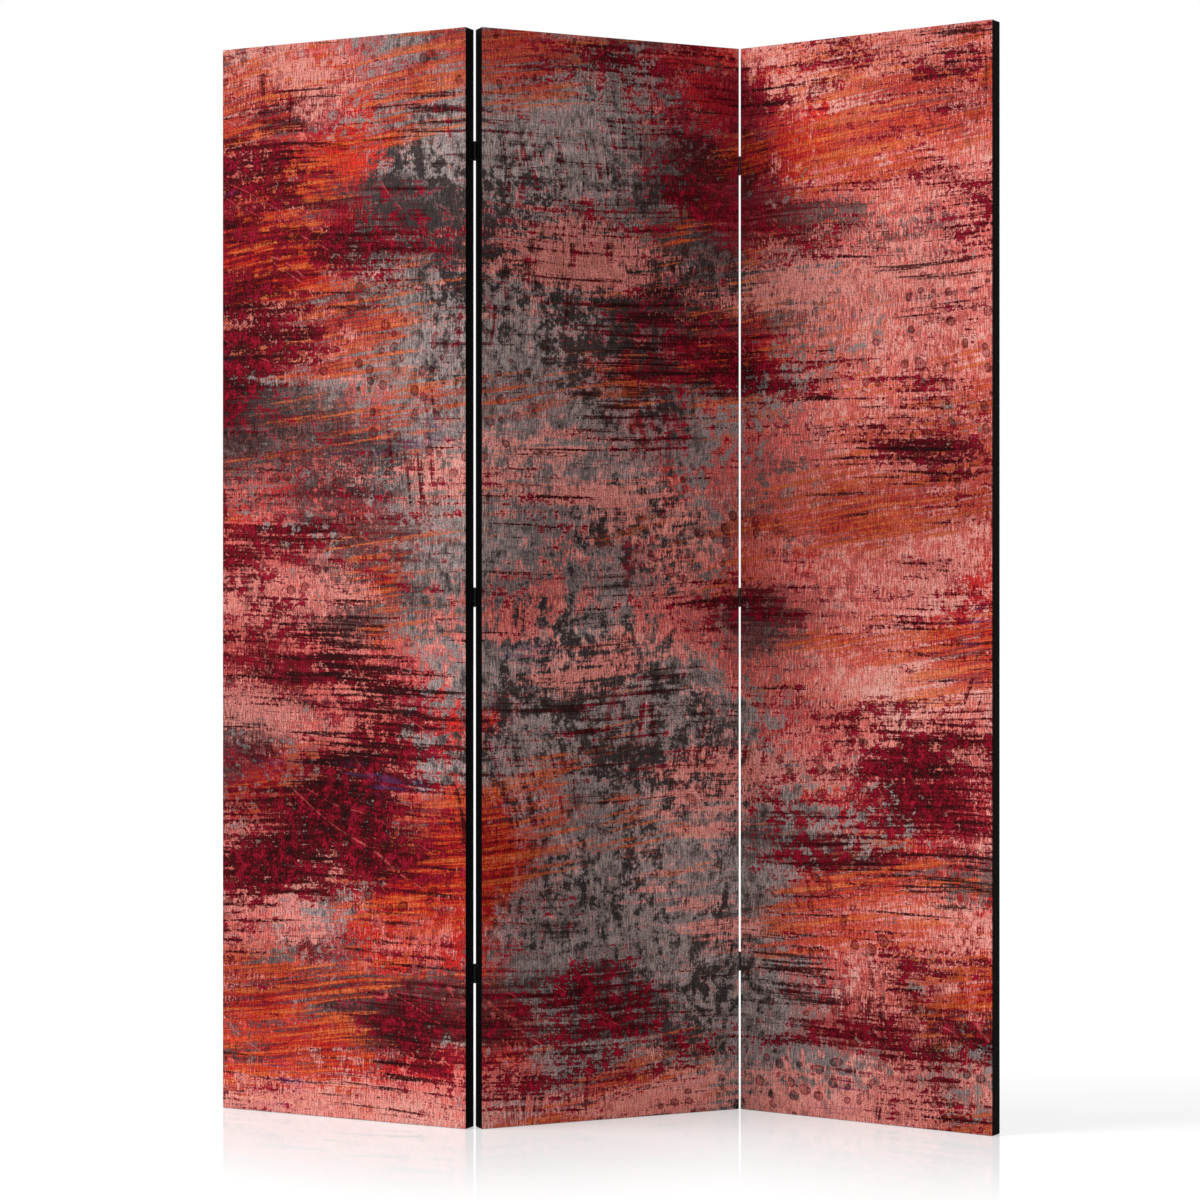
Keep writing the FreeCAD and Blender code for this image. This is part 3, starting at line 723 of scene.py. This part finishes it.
def canvas_rings(cloth):
    """For each ring of the canvas: how far in it lies, how far back it stands, and its way along the cloth
    to the edge of the front's flat, which is below 0 past that edge."""
    rim = cloth.rim
    depth = CANVAS_BACK - CANVAS_FRONT - 2 * rim
    front = spaced((HALF_PANEL[0] - MIDDLE_STRIP, 0.045, 14), (0.036, 0.008, 6), (0.004, rim, 2))
    quarter = np.linspace(0, math.pi / 2, 6)[1:]
    side = np.linspace(0, depth, 4)[1:]
    border = np.linspace(rim, cloth.turn_in, 5)[1:]
    bend = rim * quarter
    inset = (front, rim * (1 - np.sin(quarter)), np.zeros_like(side), rim * (1 - np.cos(quarter)), border)
    back = (
        np.full_like(front, -rim), -rim * np.cos(quarter), side, depth + rim * np.sin(quarter),
        np.full_like(border, depth + rim),
    )
    edge = (
        front - rim, -bend, -bend[-1] - side, -bend[-1] - depth - bend,
        -2 * bend[-1] - depth - (border - rim),
    )
    return np.concatenate(inset), CANVAS_FRONT + rim + np.concatenate(back), np.concatenate(edge)


def stretched_canvas(panel, number, cloth, material):
    """The canvas as one turn-over sheet: rings run from the middle of the front to its edge, round the
    rim by a quarter circle, along the depth, round the back rim and in along the turned-in border.
    The front lies back by the slack where the frame's bead no longer carries it, in slow ripples of a
    sine across and a cosine up."""
    inset, back, edge = canvas_rings(cloth)
    pattern = ring_pattern(*CANVAS_POINTS)
    flat = rings(pattern, HALF_PANEL, inset, cloth.rim)
    x, z = flat[..., 0], flat[..., 1]
    slack = cloth.slack * smooth_step((edge - cloth.bead) / SLACK_RUN)
    waves = np.sin(RIPPLE_ACROSS * x + 1.3 * number) + np.cos(RIPPLE_UP * z - number)
    ripple = 1 - RIPPLE_SHARE + RIPPLE_SHARE * (0.5 + 0.25 * waves)
    points = np.stack((x, back[:, None] + slack[:, None] * ripple, z + HALF_PANEL[1]), -1)
    faces = ring_faces(*x.shape).tolist() + middle_faces(*CANVAS_POINTS)
    piece = new_piece(f"{panel}_stretched_canvas", stand(points, panel), faces, material)

    spread = rings(pattern, HALF_PANEL, np.where(edge > 0, inset, cloth.rim), cloth.rim)
    spread += np.maximum(-edge, 0.0)[:, None, None] * pattern[1]
    lay_sheet_map(piece.data, spread + HALF_PANEL + (number * PANEL_WIDTH, 0.0))
    far = piece.data.attributes.new("edge", "FLOAT", "POINT")
    far.data.foreach_set("value", np.repeat(edge, x.shape[1]).astype(np.float32))
    give_thickness(piece, cloth.cloth)
    return piece


def bay_dip(x, z):
    """1 in the bays between the bars and 0 on the bars, by a smooth step in from each bar's edge."""
    def inside(value, low, high):
        return smooth_step(np.minimum(value - low, high - value) / DIP_RUN)

    across = inside(x, BAR_FACE - HALF_PANEL[0], HALF_PANEL[0] - BAR_FACE)
    return across * sum(inside(z, low, high) for low, high in BAYS)


def pucker_share(flat, cloth):
    """Waves along the staples' lines, a cosine that is 0 at each staple and 1 half way to the next, fading
    to both sides by a bell curve."""
    row = HALF_COVER - cloth.staple_inset
    steps = np.round(2 * row / cloth.staple_pitch)
    wave = 0.5 + 0.5 * np.cos(math.pi * steps * (flat / row + 1))
    off_line = HALF_COVER - np.abs(flat) - cloth.staple_inset
    bell = np.exp(-((off_line / PUCKER_WIDTH) ** 2))
    return np.maximum(wave[..., 1] * bell[..., 0], wave[..., 0] * bell[..., 1])


def cover_sheet(panel, cloth, material):
    """The back cloth: rings from its middle to its edge, over the edge and back underneath, so that it is
    a thin closed sheet. It dips between the bars and puckers between its staples."""
    thick = COVER_BACK - CANVAS_BACK
    top = spaced(
        (HALF_COVER[0] - MIDDLE_STRIP, 0.052, 24), (0.048, 0.028, 6), (0.023, 0.018, 2),
        (0.014, 0.011, 2), (0.008, 0.004, 2), (0.0012, 0.0003, 2),
    )
    inset = np.concatenate((top, (0.0, 0.0), top[::-1]))
    depth = np.concatenate((np.zeros_like(top), (0.0002, thick - 0.0001), np.full_like(top, thick)))
    flat = rings(ring_pattern(*COVER_POINTS), HALF_COVER, inset, COVER_CORNER)
    x, z = flat[..., 0], flat[..., 1] + HALF_PANEL[1]

    uneven = 1 - DIP_WAVE + DIP_WAVE * np.sin(31 * x + 7 * z) * np.sin(23 * z)
    pucker = cloth.pucker * pucker_share(flat, cloth) * (depth == 0)[:, None]
    y = COVER_BACK - depth[:, None] - cloth.cover_dip * bay_dip(x, z) * uneven + pucker
    faces = ring_faces(*x.shape)[:, ::-1].tolist()
    last = (len(inset) - 1) * x.shape[1]
    for face in middle_faces(*COVER_POINTS):
        faces += [face[::-1], [last + corner for corner in face]]
    piece = new_piece(f"{panel}_back_cloth", stand(np.stack((x, y, z), -1), panel), faces, material)
    lay_sheet_map(piece.data, flat)
    return piece


def staple_places(panel, cloth):
    """Each staple's middle and turn: even steps along the top, bottom and sides of a rectangle, each a
    little astray."""
    half = HALF_COVER - cloth.staple_inset
    half_x, half_z = half
    count_x, count_z = np.round(2 * half / cloth.staple_pitch).astype(int)
    run_x = half_x * ((np.arange(count_x) + 0.5) / count_x * 2 - 1)
    run_z = half_z * ((np.arange(count_z) + 0.5) / count_z * 2 - 1)
    sides = ((run_x, half_z), (run_x, -half_z), (half_x, run_z), (-half_x, run_z))
    middle = np.concatenate([np.stack(np.broadcast_arrays(x, z), -1) for x, z in sides])
    lie = np.repeat((0.0, math.pi / 2), (2 * count_x, 2 * count_z))
    draws = np.random.default_rng(len(panel) * 7 + PANELS.index(panel))
    middle += draws.normal(0, STAPLE_STRAY, middle.shape)
    return middle, lie + draws.normal(0, STAPLE_TWIST, lie.shape)


def staple_surface(cloth):
    """One staple: a flat oval carried up a leg, round a bend, along the crown and down again. Gives each
    point's way along the crown and its height, and the oval's way to the side."""
    bend = np.linspace(0, math.pi / 2, 4)
    start = -cloth.staple_crown / 2
    leg_x = np.append(start, start + STAPLE_BEND * (1 - np.cos(bend)))
    leg_y = np.append(-STAPLE_LEG, -STAPLE_BEND * (1 - np.sin(bend)))
    path_x = np.append(leg_x, -leg_x[::-1])
    path_y = np.append(leg_y, leg_y[::-1])
    lead_x, lead_y = np.gradient(path_x), np.gradient(path_y)
    size = np.hypot(lead_x, lead_y)
    turn = np.linspace(0, 2 * math.pi, 8, endpoint=False)
    waves = np.stack((np.cos(turn), np.sin(turn)))
    oval_side, oval_up = np.sign(waves) * np.abs(waves) ** STAPLE_OVAL
    below = STAPLE_HALF_THICK * (oval_up - 1)
    along = path_x[:, None] - (lead_y / size)[:, None] * below
    rise = path_y[:, None] + (lead_x / size)[:, None] * below + cloth.staple_rise
    return along, rise, cloth.staple_wire / 2 * oval_side


def staple_row(panel, cloth, material):
    """Staples round the back cloth: the one staple's surface turned and moved to each place."""
    middle, lie = staple_places(panel, cloth)
    along, rise, side = staple_surface(cloth)
    cos, sin = np.cos(lie)[:, None, None], np.sin(lie)[:, None, None]
    x = middle[:, 0, None, None] + cos * along - sin * side
    z = middle[:, 1, None, None] + sin * along + cos * side + HALF_PANEL[1]
    points = np.stack(np.broadcast_arrays(x, COVER_BACK + rise, z), -1)

    steps, around = along.shape
    start = np.arange(len(lie))[:, None, None] * steps * around
    once = np.arange(around)
    ends = np.stack((once, (steps - 1) * around + once[::-1]))
    faces = (start + ring_faces(steps, around)).reshape(-1, 4).tolist()
    faces += (start + ends).reshape(-1, around).tolist()
    return new_piece(f"{panel}_staples", stand(points, panel), faces, material)


def corner_folds(panel, cloth, material):
    """The canvas's spare cloth at the two top corners, laid in a three-cornered fold on the top edge: from
    a slanting crease it rises by the cloth's thickness and stays level to the panel's end."""
    s, t = np.meshgrid(np.linspace(0, 1, 14), FOLD_ACROSS, indexing="ij")
    rise = cloth.fold_rise * np.array(FOLD_LEVEL) * np.minimum(s / FOLD_LEAD, 1) - FOLD_SINK
    front, rear = CANVAS_FRONT + FOLD_MARGIN, CANVAS_BACK - FOLD_MARGIN
    y = front + (rear - front) * s
    reach = FOLD_START + (cloth.fold - FOLD_START) * s
    points, faces = [], []
    for number, side in enumerate((-1, 1)):
        x = side * (HALF_PANEL[0] - FOLD_MARGIN - reach * (1 - t))
        points.append(np.stack((x, y, PANEL_HEIGHT + rise), -1))
        faces += (grid_faces(*s.shape)[:, ::-side] + number * s.size).tolist()
    piece = new_piece(f"{panel}_corner_folds", stand(np.stack(points), panel), faces, material)
    give_thickness(piece, cloth.fold_cloth)
    return piece


def dress(nodes, material):
    """Puts a material on CAD nodes, whose meshes stay as they are."""
    for name in nodes:
        slots = frame["nodes"][name].data.materials
        slots.clear()
        slots.append(material)


def seen_direct(mix):
    """1 where the camera, a reflection or a clear piece looks, and 0 for the light on the screen."""
    path = mix.node("ShaderNodeLightPath")
    seen = mix.sum(path.outputs["Is Camera Ray"], path.outputs["Is Glossy Ray"], "MAXIMUM")
    return mix.sum(seen, path.outputs["Is Transmission Ray"], "MAXIMUM")


def pale_floor(name, chosen):
    """Pale floor, white to the camera. Its polish fades with distance from the panels' bottom edges, the
    length of what lies past each edge's line and ends."""
    mix = new_finish(name)
    place = mix.object_place()
    nearest = FLOOR_REACH
    for panel in PANELS:
        sockets = {"Vector": place, "Location": FOOT[panel], "Rotation": (0, 0, TURN[panel])}
        local = mix.node("ShaderNodeMapping", sockets, vector_type="TEXTURE").outputs["Vector"]
        past = mix.vector("SUBTRACT", mix.vector("ABSOLUTE", local), (HALF_PANEL[0], 0, 0))
        gap = mix.vector("LENGTH", mix.vector("MAXIMUM", past), out="Value")
        nearest = mix.sum(gap, nearest, "MINIMUM")
    polish = mix.ease(nearest, 0.0, chosen.shine_reach, chosen.shine, 0.0)
    glow = mix.product(seen_direct(mix), chosen.floor_lift)
    tint = mix.greys(mix.noise(place, 1.4), (0.3, 0.39), (0.7, 0.41))
    return mix.finish(
        tint, 0.6, Specular_IOR_Level=0.0, Coat_Weight=polish, Coat_Roughness=0.02, Coat_IOR=1.45,
        Emission_Color=(1, 1, 1), Emission_Strength=glow,
    )


def lay_floor(chosen):
    """A wide level floor, a grid of squares."""
    reach = np.linspace(-FLOOR_REACH, FLOOR_REACH, 9)
    x, y = np.meshgrid(reach, reach, indexing="ij")
    points = np.stack((x, y, np.full_like(x, -FLOOR_DROP)), -1)
    floor = new_piece("floor", points, grid_faces(*x.shape).tolist(), pale_floor("pale_floor", chosen))


def light_world(fill):
    """Even light all round, white where the camera or a reflection sees it."""
    bpy.context.scene.world = bpy.data.worlds.new("studio")
    mix = Recipe(bpy.context.scene.world)
    level = mix.ease(seen_direct(mix), 0.0, 1.0, fill, 1.0)
    backdrop = mix.node("ShaderNodeBackground", {"Color": (1, 1, 1), "Strength": level})
    mix.node("ShaderNodeOutputWorld", {"Surface": backdrop.outputs["Background"]})


def hang_lamp(name, chosen):
    """A broad soft light, far off, at its turn to the left and its height."""
    parts = ("", "_side", "_rise", "_spread")
    level, side, rise, spread = (getattr(chosen, name + part) for part in parts)
    lamp = bpy.data.lights.new(name, "SUN")
    lamp.energy = level
    lamp.angle = spread
    new_object(name, lamp).rotation_euler = (math.pi / 2 - rise, 0, -side)


def stand_camera(chosen):
    """A level camera where the photograph was taken from."""
    view = bpy.data.cameras.new("camera")
    view.lens = chosen.lens
    view.sensor_width = 36.0
    camera = new_object("camera", view)
    camera.location = chosen.camera
    camera.rotation_euler = (math.pi / 2, 0, -chosen.heading)
    bpy.context.scene.camera = camera


class FoldCorners(bpy.types.Operator):
    """Lay the canvas's folded corners on each panel's top edge"""

    bl_idname = "folding_screen.fold_corners"
    bl_label = "Fold Corners"

    def execute(self, context):
        chosen = settings()
        material = wrapped_edge("canvas_fold", chosen.finishes)
        for panel in PANELS:
            piece = corner_folds(panel, chosen.cloth, material)
            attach(piece, panel)
        return {"FINISHED"}


class StretchCanvases(bpy.types.Operator):
    """Stretch a printed canvas over each panel's frame"""

    bl_idname = "folding_screen.stretch_canvases"
    bl_label = "Stretch Canvases"

    def execute(self, context):
        chosen = settings()
        cloth = chosen.cloth
        material = printed_canvas("printed_canvas", chosen.paints, chosen.finishes, cloth)
        for number, panel in enumerate(PANELS):
            piece = stretched_canvas(panel, number, cloth, material)
            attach(piece, panel)
            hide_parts(f"{panel}_canvas")
        return {"FINISHED"}


class CoverBacks(bpy.types.Operator):
    """Close each panel's back with a black cloth"""

    bl_idname = "folding_screen.cover_backs"
    bl_label = "Cover Backs"

    def execute(self, context):
        chosen = settings()
        material = back_cloth("back_cloth", chosen.finishes)
        for panel in PANELS:
            piece = cover_sheet(panel, chosen.cloth, material)
            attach(piece, panel)
            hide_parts(f"{panel}_back_cover")
        return {"FINISHED"}


class StapleBacks(bpy.types.Operator):
    """Staple each back cloth to its frame"""

    bl_idname = "folding_screen.staple_backs"
    bl_label = "Staple Backs"

    def execute(self, context):
        chosen = settings()
        material = coated_steel("staple_wire", chosen.finishes.staple, low=0.32, high=0.52, metal=0.8)
        for panel in PANELS:
            piece = staple_row(panel, chosen.cloth, material)
            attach(piece, panel)
        return {"FINISHED"}


class FinishFrames(bpy.types.Operator):
    """Give the frames' bars their planed pine"""

    bl_idname = "folding_screen.finish_frames"
    bl_label = "Finish Frames"

    def execute(self, context):
        finishes = settings().finishes
        for panel in PANELS:
            for way, bars in (("upright", UPRIGHTS), ("level", LEVEL_BARS)):
                pine = planed_pine(f"{panel}_{way}_pine", finishes, TURN[panel], way == "upright")
                dress([f"{panel}_{bar}" for bar in bars], pine)
        return {"FINISHED"}


class FinishHinges(bpy.types.Operator):
    """Give the hinges and their screws their black coatings"""

    bl_idname = "folding_screen.finish_hinges"
    bl_label = "Finish Hinges"

    def execute(self, context):
        finishes = settings().finishes
        hinge = coated_steel("hinge_black", finishes.hinge, low=0.34, high=0.52, metal=0.0)
        screw = coated_steel("screw_black", finishes.screw, low=0.30, high=0.48, metal=0.35)
        for fold in FOLDS:
            dress([f"{fold}_{level}_{part}" for level in HINGE_LEVELS for part in HINGE_PARTS], hinge)
            dress([f"{fold}_{side}_screws" for side in ("side", "centre")], screw)
        return {"FINISHED"}


class SetStage(bpy.types.Operator):
    """Lay the pale floor and set the lights and the camera"""

    bl_idname = "folding_screen.set_stage"
    bl_label = "Set Stage"

    def execute(self, context):
        chosen = settings().stage
        lay_floor(chosen)
        light_world(chosen.fill)
        for lamp in ("key", "cross", "rear"):
            hang_lamp(lamp, chosen)
        stand_camera(chosen)
        context.scene.view_settings.view_transform = "Standard"
        return {"FINISHED"}


OPERATORS = (FoldCorners, StretchCanvases, CoverBacks, StapleBacks, FinishFrames, FinishHinges, SetStage)


class ScreenPanel(bpy.types.Panel):
    """Sidebar list of the screen's settings and steps"""

    bl_idname = "VIEW3D_PT_folding_screen"
    bl_label = "Folding Screen"
    bl_space_type = "VIEW_3D"
    bl_region_type = "UI"
    bl_category = "Folding Screen"

    def draw(self, context):
        chosen = settings()
        for group in (chosen.cloth, chosen.paints, chosen.finishes, chosen.stage):
            box = self.layout.box()
            for name in group.__annotations__:
                box.prop(group, name)
        for step in OPERATORS:
            self.layout.operator(step.bl_idname)


CLASSES = (ClothSizes, PrintColours, FinishColours, StageSizes, ScreenSettings, *OPERATORS, ScreenPanel)


def register():
    for kind in CLASSES:
        bpy.utils.register_class(kind)
    bpy.types.Scene.folding_screen = PointerProperty(type=ScreenSettings)


def unregister():
    del bpy.types.Scene.folding_screen
    for kind in reversed(CLASSES):
        bpy.utils.unregister_class(kind)


def main():
    register()
    bpy.ops.folding_screen.fold_corners()
    bpy.ops.folding_screen.stretch_canvases()
    bpy.ops.folding_screen.cover_backs()
    bpy.ops.folding_screen.staple_backs()
    bpy.ops.folding_screen.finish_frames()
    bpy.ops.folding_screen.finish_hinges()
    bpy.ops.folding_screen.set_stage()


if __name__ == "__main__":
    main()
